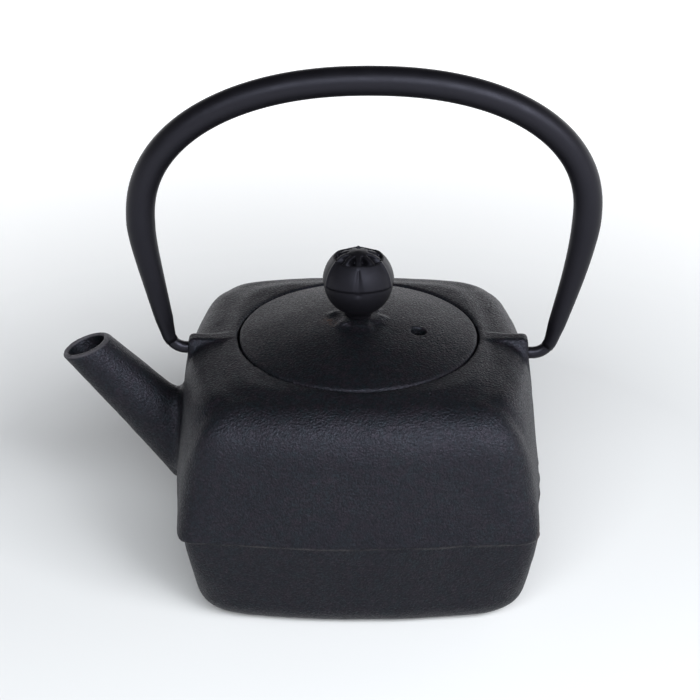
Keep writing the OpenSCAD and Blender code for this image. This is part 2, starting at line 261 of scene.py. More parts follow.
def cavity(x, y, z):
    side = half_width(x, y, 6) - side_half(z) + WALL_THICK
    body = round_meet(side, FLOOR_THICK - z, CAVITY_R)
    body = round_meet(body, z - CAVITY_TOP_Z, CAVITY_R)
    neck = np.maximum(np.hypot(x, y) - OPENING_R, CAVITY_TOP_Z - CAVITY_R - z)
    return soft_min(body, neck, 0.8)


def pot_field(x, y, z):
    upper = soft_min(panel_block(x, y, z), shoulder_block(x, y, z), 0.7)
    upper = round_meet(upper, SEAM_Z - z, 1.1)
    lower = soft_max(lower_half(x, y, z), z - SEAM_Z, 0.7)
    body = soft_min(upper, lower, 0.35)
    # The seam's casting fin is broken off in places
    broken = step_up(waves(x, y, 0 * z, 11, 4), -0.7, 0.5)
    body = body - 0.33 * broken * np.exp(-(((z - SEAM_Z + 0.1) / 0.5) ** 2))
    body = soft_min(body, spout_outside(x, y, z), 3 + 5 * step_up(z, 45, 62))
    for side in (-1, 1):
        body = soft_min(body, lug(x, y, z, side), 1.2)
    # Slow unevenness of the casting, which stays within the CAD box
    body = body + 0.07 * waves(x, y, z, 17) + 0.05 * waves(x, y, z, 7, 3)
    body = np.maximum(body, np.maximum(-z, np.abs(y) - BELLY_HALF))
    t, off = along(x, y, z, HINGE_MIDDLE, HINGE_DIRECTION)
    hole = np.maximum(off - HOLE_R, np.abs(np.abs(t) - LUG_X) - HOLE_DEPTH)
    seat = np.maximum(np.hypot(x, y) - SEAT_R, SEAT_FLOOR_Z - z)
    hollow = np.minimum(cavity(x, y, z), spout_bore(x, y, z))
    body = soft_max(body, -hollow, 0.5)
    body = soft_max(body, -seat, 0.5)
    return soft_max(body, -hole, 0.3)


# ---- Meshes ----

def grid_lines(low, high, pitch, fine=()):
    """Grid lines from low to high about pitch apart; fine holds (from, to, pitch) stretches."""
    at, lines = low, [low]
    while at < high:
        here = min([pitch] + [p for a, b, p in fine if a <= at < b])
        at += here
        lines.append(at)
    return np.array(lines)


def gradient(field, points, reach=0.02):
    steps = np.eye(3) * reach
    return np.stack([
        (field(*(points + s).T) - field(*(points - s).T)) / (2 * reach) for s in steps
    ], 1)


def surface_of(field, axes, rounds=4):
    """Points and quads of the surface where field is zero, on a grid with its lines at axes."""
    value = field(*np.meshgrid(*axes, indexing="ij"))
    cells = np.array(value.shape) - 1
    total = np.zeros((int(np.prod(cells)), 3))
    count = np.zeros(len(total))
    quads = []
    for a in range(3):
        b, c = (a + 1) % 3, (a + 2) % 3
        step = np.eye(3, dtype=int)[a]
        low = value.take(range(cells[a]), a) < 0
        high = value.take(range(1, cells[a] + 1), a) < 0
        edge = np.argwhere(low != high)
        edge = edge[((edge[:, [b, c]] > 0) & (edge[:, [b, c]] < cells[[b, c]])).all(1)]
        v0, v1 = value[tuple(edge.T)], value[tuple((edge + step).T)]
        point = np.stack([axes[d][edge[:, d]] for d in range(3)], 1)
        point[:, a] += v0 / (v0 - v1) * (axes[a][edge[:, a] + 1] - axes[a][edge[:, a]])
        ring = []
        for db, dc in ((0, 0), (-1, 0), (-1, -1), (0, -1)):
            cell = edge.copy()
            cell[:, b] += db
            cell[:, c] += dc
            flat = np.ravel_multi_index(cell.T, cells)
            np.add.at(total, flat, point)
            np.add.at(count, flat, 1)
            ring.append(flat)
        ring = np.stack(ring, 1)
        quads.append(np.where((v0 < 0)[:, None], ring, ring[:, ::-1]))
    quads = np.concatenate(quads)
    used, quads = np.unique(quads, return_inverse=True)
    quads = quads.reshape(-1, 4)
    points = total[used] / count[used, None]
    for _ in range(rounds):
        slope = gradient(field, points)
        far = field(*points.T) / np.maximum((slope**2).sum(1), 0.2)
        points -= slope * np.clip(far, -0.6, 0.6)[:, None]
    return points, quads


def make_piece(name, points, faces, materials, body, replaces=(), pick=None):
    """A smooth mesh in place, riding on body. pick gives each face's material from its middle."""
    mesh = bpy.data.meshes.new(name)
    mesh.from_pydata((np.asarray(points) * MM).tolist(), [], [list(map(int, f)) for f in faces])
    mesh.polygons.foreach_set("use_smooth", [True] * len(mesh.polygons))
    for material in materials:
        mesh.materials.append(material)
    if pick is not None:
        middles = np.zeros(len(mesh.polygons) * 3)
        mesh.polygons.foreach_get("center", middles)
        chosen = pick(*(middles.reshape(-1, 3) / MM).T).astype(int)
        mesh.polygons.foreach_set("material_index", chosen)
    mesh.update()
    piece = bpy.data.objects.new(name, mesh)
    bpy.context.scene.collection.objects.link(piece)
    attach(piece, body)
    if replaces:
        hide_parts(*replaces)


def revolve(profile, sides):
    """A closed profile of (radius, z) points turned about Z."""
    profile = np.array(profile, float)
    turn = np.arange(sides) * math.tau / sides
    points = np.stack([
        np.outer(np.cos(turn), profile[:, 0]),
        np.outer(np.sin(turn), profile[:, 0]),
        np.outer(np.ones(sides), profile[:, 1]),
    ], 2).reshape(-1, 3)
    m = len(profile)
    i, j = np.meshgrid(np.arange(sides), np.arange(m), indexing="ij")
    i2, j2 = (i + 1) % sides, (j + 1) % m
    faces = np.stack([i * m + j, i2 * m + j, i2 * m + j2, i * m + j2], 2).reshape(-1, 4)
    return points, faces


def rounded(outline, radius, steps=4):
    """A closed outline of (r, z) points with rounded corners; a corner may state its own radius."""
    outline = [tuple(p) if len(p) == 3 else (*p, radius) for p in outline]
    result = []
    for i, (x, y, r) in enumerate(outline):
        here = np.array([x, y])
        before = np.array(outline[i - 1][:2]) - here
        after = np.array(outline[(i + 1) % len(outline)][:2]) - here
        r = min(r, 0.45 * np.linalg.norm(before), 0.45 * np.linalg.norm(after))
        if r < 0.01:
            result.append(here)
            continue
        start = here + before / np.linalg.norm(before) * r
        end = here + after / np.linalg.norm(after) * r
        for t in np.linspace(0, 1, steps):
            result.append((1 - t) ** 2 * start + 2 * t * (1 - t) * here + t * t * end)
    return result


# ---- Materials ----

class Nodes:
    """Short calls for building the nodes of a material or a world."""

    def __init__(self, owner):
        owner.use_nodes = True
        self.owner = owner
        self.tree = owner.node_tree
        self.tree.nodes.clear()

    def add(self, kind, inputs=(), **settings):
        """A node with its settings, and its inputs as numbers, colours or other nodes' outputs."""
        node = self.tree.nodes.new("ShaderNode" + kind)
        for key, value in settings.items():
            setattr(node, key, value)
        for key, value in dict(inputs).items():
            if isinstance(value, bpy.types.NodeSocket):
                self.tree.links.new(value, node.inputs[key])
            else:
                node.inputs[key].default_value = value
        return node

    def place(self):
        return self.add("TexCoord").outputs["Object"]

    def noise(self, size_mm, detail, rough, place):
        inputs = {"Vector": place, "Scale": 1000 / size_mm, "Detail": detail, "Roughness": rough}
        return self.add("TexNoise", inputs).outputs["Fac"]

    def bumps(self, size_mm, place):
        """Distance to the nearest of points that lie about size_mm apart."""
        inputs = {"Vector": place, "Scale": 1000 / size_mm}
        return self.add("TexVoronoi", inputs).outputs["Distance"]

    def away_from(self, point_mm, place):
        """Distance from a point, in metres."""
        inputs = {0: place, 1: tuple(float(v) * MM for v in point_mm)}
        return self.add("VectorMath", inputs, operation="DISTANCE").outputs["Value"]

    def spread(self, value, low, high, to_low=0.0, to_high=1.0):
        """to_low where value is low or less, to_high where it's high or more, even between."""
        inputs = {
            "Value": value, "From Min": low, "From Max": high, "To Min": to_low, "To Max": to_high
        }
        return self.add("MapRange", inputs, clamp=True).outputs["Result"]

    def math(self, operation, a, b):
        return self.add("Math", {0: a, 1: b}, operation=operation).outputs[0]

    def mix(self, share, a, b):
        """Between two colours."""
        return self.add("Mix", {0: share, 6: a, 7: b}, data_type="RGBA").outputs[2]

    def bump(self, height, depth_mm, strength=1.0, normal=None):
        inputs = {"Height": height, "Distance": depth_mm * MM, "Strength": strength}
        if normal is not None:
            inputs["Normal"] = normal
        return self.add("Bump", inputs).outputs["Normal"]

    def finish(self, **sockets):
        """The material with a Principled shader; an underscore in a socket's name is a space."""
        shader = self.add("BsdfPrincipled", {k.replace("_", " "): v for k, v in sockets.items()})
        self.add("OutputMaterial", {"Surface": shader.outputs["BSDF"]})
        return self.owner


def new_nodes(name):
    return Nodes(bpy.data.materials.new(name))


def rgb(r, g, b):
    """An opaque colour, as a shader socket holds it."""
    return (r, g, b, 1.0)


# The coat's reflections are faintly blue
SHEEN = rgb(0.8, 0.8, 1.0)


def cast_iron(name, gloss, worn_rim=None, seam_z=None, rust=()):
    """Sand-cast iron under a thin black coat: pebbled and pitted, with the coat uneven in tone.

    worn_rim is a point and a direction in millimetres; the coat is worn off above that plane.
    seam_z is the height of a mould seam, painted lighter in broken stretches as a highlight on its
    fin.
    rust is a list of points in millimetres, each with a radius, where a little rust shows."""
    n = new_nodes(name)
    place = n.place()
    pebbles = n.noise(0.7, 2, 0.6, place)
    grains = n.bumps(0.65, place)
    slow = n.noise(14, 3, 0.5, place)
    pits = n.spread(n.bumps(5.5, place), 0.0, 0.11)
    specks = n.spread(n.noise(1.7, 5, 0.65, place), 0.66, 0.76)
    height = n.math("ADD", n.math("MULTIPLY", pebbles, 1.1), n.math("MULTIPLY", grains, -0.35))
    height = n.math("ADD", height, n.math("MULTIPLY", pits, 0.7))
    normal = n.bump(height, 0.25)
    normal = n.bump(slow, 0.25, 0.5, normal)
    tone = n.spread(slow, 0.35, 0.65)
    warm = n.mix(tone, rgb(0.0066, 0.0046, 0.0068), rgb(0.0092, 0.0068, 0.009))
    cool = n.mix(tone, rgb(0.0028, 0.0052, 0.0066), rgb(0.0044, 0.0078, 0.009))
    colour = n.mix(n.spread(n.noise(2.6, 4, 0.7, place), 0.4, 0.6), warm, cool)
    dim = n.spread(n.noise(0.6, 2, 0.7, place), 0.4, 0.56)
    colour = n.mix(n.math("MULTIPLY", dim, 0.95), colour, rgb(0.0003, 0.0003, 0.0004))
    colour = n.mix(n.math("MULTIPLY", specks, 0.3), colour, rgb(0.03, 0.025, 0.022))
    if worn_rim:
        point, direction = worn_rim
        above = n.add("VectorMath", {0: place, 1: direction}, operation="DOT_PRODUCT")
        level = float(np.dot(point, direction)) * MM
        worn = n.spread(above.outputs["Value"], level - 0.9 * MM, level - 0.35 * MM, 0.0, 0.8)
        near = n.spread(n.away_from(point, place), 9 * MM, 11 * MM, 1.0, 0.0)
        colour = n.mix(n.math("MULTIPLY", worn, near), colour, rgb(0.06, 0.057, 0.062))
    # Painted highlight: the colour is lighter in broken stretches along the seam, where its fin
    # catches the light
    if seam_z:
        at_z = n.add("SeparateXYZ", {0: place}).outputs["Z"]
        off = n.math("ABSOLUTE", n.math("SUBTRACT", at_z, seam_z * MM), 0.0)
        broken = n.spread(n.noise(5, 4, 0.7, place), 0.4, 0.62)
        share = n.math("MULTIPLY", n.spread(off, 0.2 * MM, 0.65 * MM, 0.8, 0.0), broken)
        colour = n.mix(share, colour, rgb(0.03, 0.028, 0.028))
    for point, radius in rust:
        share = n.spread(n.away_from(point, place), 0.2 * radius * MM, radius * MM, 0.8, 0.0)
        share = n.math("MULTIPLY", share, n.spread(n.noise(1.2, 4, 0.6, place), 0.45, 0.62))
        colour = n.mix(share, colour, rgb(0.06, 0.03, 0.018))
    rough = n.spread(pebbles, 0.3, 0.7, 0.53, 0.4)
    rough = n.math("ADD", rough, n.math("MULTIPLY", dim, 0.12))
    return n.finish(
        Base_Color=colour, Roughness=rough, Normal=normal, Specular_IOR_Level=gloss,
        Specular_Tint=SHEEN,
    )


def satin_iron(name, colour, worn, roughness, gloss):
    """Smooth painted iron with a soft sheen, faint ripples and fine rubbed specks."""
    n = new_nodes(name)
    place = n.place()
    ripple = n.noise(2.5, 3, 0.5, place)
    fine = n.noise(0.5, 2, 0.5, place)
    specks = n.spread(n.noise(1.2, 5, 0.7, place), 0.68, 0.76)
    normal = n.bump(n.math("ADD", ripple, n.math("MULTIPLY", fine, 0.3)), 0.03)
    rough = n.spread(n.noise(6, 4, 0.6, place), 0.3, 0.7, roughness + 0.06, roughness - 0.05)
    tint = n.mix(n.math("MULTIPLY", specks, 0.35), colour, worn)
    return n.finish(
        Base_Color=tint, Roughness=rough, Normal=normal, Specular_IOR_Level=gloss,
        Specular_Tint=SHEEN,
    )


def enamel(name):
    n = new_nodes(name)
    place = n.place()
    normal = n.bump(n.noise(3, 2, 0.5, place), 0.05)
    colour = n.mix(n.noise(9, 3, 0.5, place), rgb(0.012, 0.012, 0.014), rgb(0.02, 0.02, 0.023))
    return n.finish(Base_Color=colour, Roughness=0.22, Normal=normal)


def steel(name):
    n = new_nodes(name)
    place = n.place()
    brushed = n.noise(0.35, 3, 0.6, place)
    rough = n.spread(brushed, 0.3, 0.7, 0.24, 0.38)
    colour = n.mix(n.noise(5, 3, 0.5, place), rgb(0.55, 0.55, 0.56), rgb(0.66, 0.66, 0.66))
    normal = n.bump(brushed, 0.01)
    return n.finish(Base_Color=colour, Metallic=1.0, Roughness=rough, Normal=normal)


MOUTH_UP = (-math.sin(MOUTH_CUT), 0, math.cos(MOUTH_CUT))
BODY_RUST = [((56, -50, 33), 4), ((52, -52, 76), 3)]
LID_RUST = [((-10, -2, 82.8), 2.6), ((-8, -5, 83), 1.8)]
BODY_IRON = cast_iron("cast_iron_body", 0.245, (SPOUT_MOUTH, MOUTH_UP), SEAM_Z, BODY_RUST)
LID_IRON = cast_iron("cast_iron_lid", 0.22, rust=LID_RUST)
KNOB_IRON = satin_iron(
    "satin_iron_knob", rgb(0.0025, 0.0023, 0.003), rgb(0.015, 0.012, 0.01), 0.52, 0.2
)
HANDLE_IRON = satin_iron(
    "satin_iron_handle", rgb(0.0028, 0.0026, 0.0034), rgb(0.012, 0.011, 0.01), 0.45, 0.2
)
HOOK_IRON = satin_iron(
    "worn_iron_hook", rgb(0.004, 0.0037, 0.0045), rgb(0.05, 0.045, 0.04), 0.36, 0.24
)
ENAMEL = enamel("black_enamel")
STEEL = steel("stainless_steel")


# ---- The pot ----

def is_enamelled(x, y, z):
    """1 inside the pot, where the second material goes."""
    return (cavity(x, y, z) < 0.6) & (z < SEAT_FLOOR_Z - 0.6)


def build_pot():
    coarse = 1.25
    fine = 0.76
    # Finer along the spout and at the lugs, across them, at the seam, and from the panels' tops up
    axes = (
        grid_lines(-98.0, 62, coarse, [(-98, -54, fine), (52, 58, fine)]),
        grid_lines(-61.3, 62, coarse, [(-10, 10, fine)]),
        grid_lines(-1.3, 79, coarse, [(31, 34.4, 0.4), (57, 79, fine)]),
    )
    points, quads = surface_of(pot_field, axes)
    make_piece(
        "pot_casting", points, quads, [BODY_IRON, ENAMEL], "pot", ["pot_body"],
        is_enamelled,
    )


# ---- The lid ----

LID_R = LID_HIGH[0]
LID_EDGE_Z = SHOULDER_Z - 3
DOME_TOP_Z = LID_HIGH[2] - 1.2
DOME_RISE = DOME_TOP_Z - SHOULDER_Z
DOME_R = (LID_R**2 + DOME_RISE**2) / (2 * DOME_RISE)
LID_THICK = 2.8
SKIRT_R = WALL_HIGH[0] - 1.8
SKIRT_THICK = 2.5
VENT = (19, -7)
VENT_R = 2.5
# Under the knob: a scalloped seat on top, a boss below, and the hole for the knob's stem
FLOWER_R = 7.4
BOSS_R = 7
STEM_HOLE_R = 2.1


def dome_z(r):
    return DOME_TOP_Z - DOME_R + np.sqrt(np.maximum(DOME_R**2 - r * r, 0))


def lid_field(x, y, z):
    r = np.hypot(x, y)
    turn = np.arctan2(y, x)
    top = (z - dome_z(r)) * 0.97
    edge = round_meet(r - LID_R, top, 0.7)
    body = soft_max(edge, LID_EDGE_Z - z, 0.5)
    under = np.maximum(r - (SKIRT_R - SKIRT_THICK), z - dome_z(r) + LID_THICK)
    body = soft_max(body, -under, 1)
    skirt = np.maximum(LID_LOW[2] - z, z - LID_EDGE_Z - 1)
    skirt = np.maximum(np.abs(r - SKIRT_R + SKIRT_THICK / 2) - SKIRT_THICK / 2, skirt)
    body = soft_min(body, skirt, 0.8)
    lobes = FLOWER_R + 0.8 * np.cos(6 * turn + 1.57) + 0.4 * np.cos(11 * turn)
    flower = np.maximum((r - lobes - 1.6 * (DOME_TOP_Z + 0.5 - z)) * 0.5, z - DOME_TOP_Z - 0.75)
    flower = flower + 0.12 * waves(x, y, z, 6, 5)
    body = soft_min(body, np.maximum(flower, DOME_TOP_Z - 2 - z), 0.9)
    boss = np.maximum(r - BOSS_R, np.maximum(WASHER_HIGH[2] + 0.1 - z, z - DOME_TOP_Z))
    body = soft_min(body, boss, 0.8)
    body = body + 0.06 * waves(x, y, z, 15, 2)
    vent = np.hypot(x - VENT[0], y - VENT[1]) - VENT_R
    body = soft_max(body, -vent, 0.4)
    return np.maximum(body, STEM_HOLE_R - r)


def build_lid():
    pitch = 0.75
    reach = LID_R + 1.5
    # Finer across the vent hole
    axes = (
        grid_lines(-reach, reach + 1, pitch, [(15, 23, 0.45)]),
        grid_lines(-reach, reach + 1, pitch, [(-11, -3, 0.45)]),
        grid_lines(LID_LOW[2] - 1.2, LID_HIGH[2] + 2, min(pitch, 0.6)),
    )
    points, quads = surface_of(lid_field, axes)
    make_piece("lid_casting", points, quads, [LID_IRON], "lid", ["lid"])


# ---- The knob: a flower bud of three petals over a smooth calyx ----

PETAL = math.tau / 3
RIBS = 9
CUP_R, CUP_FLOOR = 7.75, 7.3
NECK_R = 4.3
STEM_R = 2
RIVET_R = 3.1


def knob_field(x, y, z):
    h = z - KNOB_Z
    r = np.hypot(x, y)
    far = np.hypot(r, h)
    turn = np.arctan2(x, -y)
    rise = np.degrees(np.arctan2(h, np.maximum(r, 1e-6)))
    # Across a petal from its middle fold: as an angle, and in millimetres
    aside = np.abs((turn + PETAL / 2) % PETAL - PETAL / 2)
    across = aside * r
    hem = 6.0 - 4.0 * (1 - np.cos(aside * 1.5))
    above = step_up(rise, hem - 2.6, hem + 1.6)
    fold_width = np.maximum(0.4, 1.9 - 0.045 * (rise - 8))
    groove = 0.6 * np.maximum(1 - across / fold_width, 0) * step_up(-rise, -46, -38)
    ridge = 0.3 * np.exp(-((((PETAL / 2 - aside) * r) / 0.5) ** 2))
    facet = 0.25 * np.sin(aside * 3) ** 2
    bud = far - (KNOB_R - 0.25 + above * (0.65 - groove + ridge - facet))
    dimple = 0.35 * np.exp(-((across / 0.9) ** 2 + ((rise - hem + 6) / 3.2) ** 2))
    bud = bud + dimple
    # The cup on top, with its ring of ribs and the stub in the middle
    lip = CUP_R - 0.15 * np.cos(3 * turn)
    cup = np.maximum(r - lip + 0.3 * (9 - h), CUP_FLOOR - h)
    bud = soft_max(bud, -cup, 0.45)
    rib_turn = (turn + 0.35) % (math.tau / RIBS) - math.tau / (2 * RIBS)
    rib = np.maximum(np.abs(rib_turn) * r - 0.75, h - 9.9 + 0.11 * (r - 3) ** 2)
    rib = np.maximum(np.maximum(rib, r - lip - 0.3), 5 - h)
    lump = np.sqrt((rib_turn * r * 0.8) ** 2 + (r - 5.7) ** 2 + (h - 7.0) ** 2) - 1.35
    stub = np.maximum(np.maximum(r - 2.6 - 0.25 * np.cos(5 * turn), h - 10.6 + 0.1 * r * r), -h)
    bud = soft_min(bud, soft_min(soft_min(rib, lump, 0.6), stub, 1.1), 0.7)
    # The neck on the lid, and the stem through it with its riveted end
    neck = np.maximum(np.maximum(r - NECK_R, DOME_TOP_Z + 0.95 - z), z - KNOB_Z)
    bud = soft_min(soft_max(bud, DOME_TOP_Z + 1.3 - z, 0.5), neck, 1.5)
    stem = np.maximum(r - STEM_R, np.maximum(z - KNOB_Z, WASHER_LOW[2] - 1.3 - z))
    rivet = np.maximum(np.hypot(r, (z - WASHER_LOW[2]) * 1.9) - RIVET_R, z - WASHER_LOW[2])
    return soft_min(soft_min(bud, stem, 0.3), rivet, 0.3)


def build_knob():
    pitch = 0.33
    reach = KNOB_R + 0.8
    axes = (
        grid_lines(-reach, reach + 0.4, pitch),
        grid_lines(-reach, reach + 0.4, pitch),
        grid_lines(KNOB_LOW[2] - 0.8, KNOB_Z + KNOB_R + 1, pitch),
    )
    points, quads = surface_of(knob_field, axes)
    make_piece("bud_knob", points, quads, [KNOB_IRON], "knob", ["lid_knob"])


def build_washer():
    r_in, r_out = STEM_HOLE_R, WASHER_HIGH[0]
    low, high = WASHER_LOW[2], WASHER_HIGH[2]
    outline = [(r_in, low), (r_out, low), (r_out, high), (r_in, high)]
    points, faces = revolve(rounded(outline, 0.2), 96)
    make_piece(
        "rivet_washer", points, faces, [STEEL], "knob", ["knob_washer"]
    )


# ---- The handle ----

ARCH_HALF = 69.91
ARCH_MID_Z = 118.5
ARCH_RISE = 44.05
ARCH_N = 2.2
LEG_SLOPE = 0.25
LEG_SOFT = 12
BEND_R = 6
LEAN = 0.035
HINGE_DROP = 1
LUG_REACH = 55.2
TUBE_R = 4.55
TUBE_END_R = 2.5
TUBE_WALL = 1
TUBE_PITCH, TUBE_SIDES = 1.6, 32
PINCH_LENGTH = 8
ROD_R = 1.9
ROD_PITCH, ROD_SIDES = 0.8, 24
JOURNAL_LENGTH = 6
BEND_ANGLE = math.atan(LEG_SLOPE)
BEND_START_Z = HINGE_Z + BEND_R * (1 - math.sin(BEND_ANGLE))


def leg_x(z):
    reach = np.sqrt((ARCH_MID_Z - z) ** 2 + LEG_SOFT**2) - LEG_SOFT
    return ARCH_HALF - LEG_SLOPE * reach


def half_path(bend_from=0.0):
    """Points (x, z) from the hook's foot, round the bend and up the leg to the top of the arch."""
    bend_x = leg_x(BEND_START_Z) - BEND_R * math.cos(BEND_ANGLE)
    a = np.linspace(bend_from, math.pi / 2 - BEND_ANGLE, 14)[:-1]
    bend = np.stack([bend_x + BEND_R * np.sin(a), HINGE_Z + BEND_R * (1 - np.cos(a))], 1)
    z = np.linspace(BEND_START_Z, ARCH_MID_Z, 40)[:-1]
    leg = np.stack([leg_x(z), z], 1)
    a = np.linspace(0, math.pi / 2, 60)
    arch = np.stack([
        ARCH_HALF * np.cos(a) ** (2 / ARCH_N), ARCH_MID_Z + ARCH_RISE * np.sin(a) ** (2 / ARCH_N)
    ], 1)
    return np.concatenate([bend, leg, arch])


def placed(path, side):
    """The half path on one side of the pot, leaned and dropped to its own lug."""
    x, z = path.T
    fade = np.clip(1 - (z - HINGE_Z) / (ARCH_MID_Z - HINGE_Z), 0, 1)
    lean = LEAN * (z - HINGE_Z) + 0.4 * step_up(ARCH_MID_Z - z, 0, 25)
    drop = side * HINGE_DROP * fade * x / LUG_REACH
    return np.stack([side * x + lean, np.zeros(len(x)), z - drop], 1)


def even_path(path, pitch):
    """The same line with its points about pitch apart."""
    length = np.concatenate([[0], np.cumsum(np.linalg.norm(np.diff(path, axis=0), axis=1))])
    keep = np.concatenate([[True], np.diff(length) > 1e-6])
    path, length = path[keep], length[keep]
    at = np.linspace(0, length[-1], max(int(length[-1] / pitch), 4))
    return np.stack([np.interp(at, length, path[:, d]) for d in range(3)], 1)


def sweep(path, radii, sides):
    """Rings of points around a path in the XZ plane, in order, with the quads between them."""
    ahead = np.gradient(path, axis=0)
    ahead /= np.linalg.norm(ahead, axis=1)[:, None]
    across = np.stack([ahead[:, 2], 0 * ahead[:, 0], -ahead[:, 0]], 1)
    turn = np.arange(sides) * math.tau / sides
    points = (
        path[:, None]
        + radii[:, None, None] * np.cos(turn)[None, :, None] * across[:, None]
        + radii[:, None, None] * np.sin(turn)[None, :, None] * np.array([0, 1, 0])
    ).reshape(-1, 3)
    j, i = np.meshgrid(np.arange(len(path) - 1), np.arange(sides), indexing="ij")
    a, b = j * sides + i, j * sides + (i + 1) % sides
    faces = np.stack([a, b, b + sides, a + sides], 2).reshape(-1, 4)
    return points, faces


def tube_radius(z):
    share = np.clip((z - HINGE_Z - 3) / (ARCH_MID_Z - HINGE_Z - 6), 0, 1)
    return TUBE_END_R + (TUBE_R - TUBE_END_R) * share


def build_tube():
    half = half_path(math.radians(52))
    path = np.concatenate([placed(half, -1), placed(half, 1)[::-1][1:]])
    path = even_path(path, TUBE_PITCH)
    # Both ends are pinched onto the hooks' rods
    from_end = TUBE_PITCH * np.minimum(np.arange(len(path)), np.arange(len(path))[::-1])
    pinch = np.clip(1 - from_end / PINCH_LENGTH, 0, 1)
    radius = tube_radius(path[:, 2]) * (1 - pinch) + (ROD_R + 0.16) * pinch
    outer, skin = sweep(path, radius, TUBE_SIDES)
    inner, inside = sweep(path, np.maximum(radius - TUBE_WALL, ROD_R + 0.06), TUBE_SIDES)
    m = len(outer)
    i = np.arange(TUBE_SIDES)
    j = (i + 1) % TUBE_SIDES
    last = (len(path) - 1) * TUBE_SIDES
    first_ring = np.stack([i, m + i, m + j, j], 1)
    last_ring = np.stack([last + i, last + j, m + last + j, m + last + i], 1)
    faces = np.concatenate([skin, inside[:, ::-1] + m, first_ring, last_ring])
    points = np.concatenate([outer, inner])
    make_piece(
        "bail_tube", points, faces, [HANDLE_IRON], "handle", ["handle_tube"]
    )


def build_hook(name, node, side):
    """A rod from its journal in a lug's hole, round the bend and up into the tube's end."""
    journal = side * (LUG_REACH - JOURNAL_LENGTH) * HINGE_DIRECTION
    start = np.array([journal[0], 0, HINGE_Z + journal[2]])
    bend = placed(half_path(), side)
    shank = bend[bend[:, 2] < BEND_START_Z + 9]
    path = even_path(np.concatenate([[start], shank]), ROD_PITCH)
    radius = np.full(len(path), ROD_R + 0.04)
    radius[0] = ROD_R - 0.35
    points, faces = sweep(path, radius, ROD_SIDES)
    first = list(range(ROD_SIDES))
    last = list(range(len(points) - ROD_SIDES, len(points)))
    faces = faces.tolist() + [first[::-1], last]
    make_piece(name, points, faces, [HOOK_IRON], "handle", [node])


# ---- The infuser ----

WIRE_R = 0.2
WIRE_PITCH = 1.05
WEAVE = 0.13
RIM_THICK, FLANGE_THICK = 0.7, 0.8
BAND_WIDTH = 3


def build_infuser_rim():
    r_in, r_out = WALL_HIGH[0] - 0.1, RIM_HIGH[0]
    low, high = RIM_LOW[2], RIM_HIGH[2]
    r_wall, flange = r_in + RIM_THICK, high - FLANGE_THICK
    outline = [
        (r_in, low), (r_wall, low), (r_wall, flange, 0.6), (r_out, flange), (r_out, high),
        (r_in, high, 0.8),
    ]
    points, faces = revolve(rounded(outline, 0.3), 160)
    make_piece(
        "infuser_flange", points, faces, [STEEL], "infuser", ["infuser_rim"]
    )


def build_base_ring():
    node_low, node_high = mm_box("infuser_base_ring")
    r_out, low, high = node_high[0], node_low[2], node_high[2]
    r_in, r_wall, top = r_out - BAND_WIDTH, r_out - RIM_THICK, low + RIM_THICK
    outline = [
        (r_in, low), (r_out, low, 0.8), (r_out, high), (r_wall, high), (r_wall, top, 0.5),
        (r_in, top),
    ]
    points, faces = revolve(rounded(outline, 0.2), 160)
    make_piece(
        "infuser_base_band", points, faces, [STEEL], "infuser",
        ["infuser_base_ring"],
    )


def wires(paths, radius, sides=4, closed=False):
    """Thin wires along paths of equally many points, as one set of points and faces."""
    paths = np.asarray(paths, float)
    k, m = paths.shape[:2]
    ahead = np.roll(paths, -1, 1) - np.roll(paths, 1, 1) if closed else np.gradient(paths, axis=1)
    ahead /= np.linalg.norm(ahead, axis=2)[..., None]
    out = paths.copy()
    out[..., 2] = 0
    crosses_middle = np.linalg.norm(out, axis=2).min() < 20
    if crosses_middle:
        side = np.broadcast_to([0.0, 0.0, 1.0], paths.shape)
    else:
        side = out / np.linalg.norm(out, axis=2)[..., None]
    other = np.cross(ahead, side)
    turn = (np.arange(sides) + 0.5) * math.tau / sides
    ring = side[:, :, None] * np.cos(turn)[:, None] + other[:, :, None] * np.sin(turn)[:, None]
    points = (paths[:, :, None] + radius * ring).reshape(-1, 3)
    spans = m if closed else m - 1
    w, j, i = np.meshgrid(np.arange(k), np.arange(spans), np.arange(sides), indexing="ij")
    j2, i2 = (j + 1) % m, (i + 1) % sides
    here, after = (w * m + j) * sides, (w * m + j2) * sides
    faces = np.stack([here + i, here + i2, after + i2, after + i], 3).reshape(-1, 4).tolist()
    if not closed:
        caps = np.arange(k)[:, None] * m * sides + np.arange(sides)
        faces += caps[:, ::-1].tolist() + (caps + (m - 1) * sides).tolist()
    return points, faces


def circle(r, z, count):
    """Points evenly round a level circle."""
    turn = np.arange(count) * math.tau / count
    return np.stack([r * np.cos(turn), r * np.sin(turn), 0 * turn + z], 1)


def build_mesh_wall():
    r = WALL_HIGH[0] - 0.3
    low, high = WALL_LOW[2] + 0.3, RIM_LOW[2] + 1
    pitch = WIRE_PITCH
    count = int(math.tau * r / pitch)
    uprights = np.stack([circle(r - WEAVE, z, count) for z in np.linspace(low, high, 3)], 1)
    hoops = np.stack([circle(r + WEAVE, z, 180) for z in np.arange(low, high, pitch)])
    upright_points, upright_faces = wires(uprights, WIRE_R)
    hoop_points, hoop_faces = wires(hoops, WIRE_R, closed=True)
    points = np.concatenate([upright_points, hoop_points])
    faces = upright_faces + [[v + len(upright_points) for v in face] for face in hoop_faces]
    make_piece(
        "infuser_mesh_wall", points, faces, [STEEL], "infuser", ["infuser_wall"]
    )


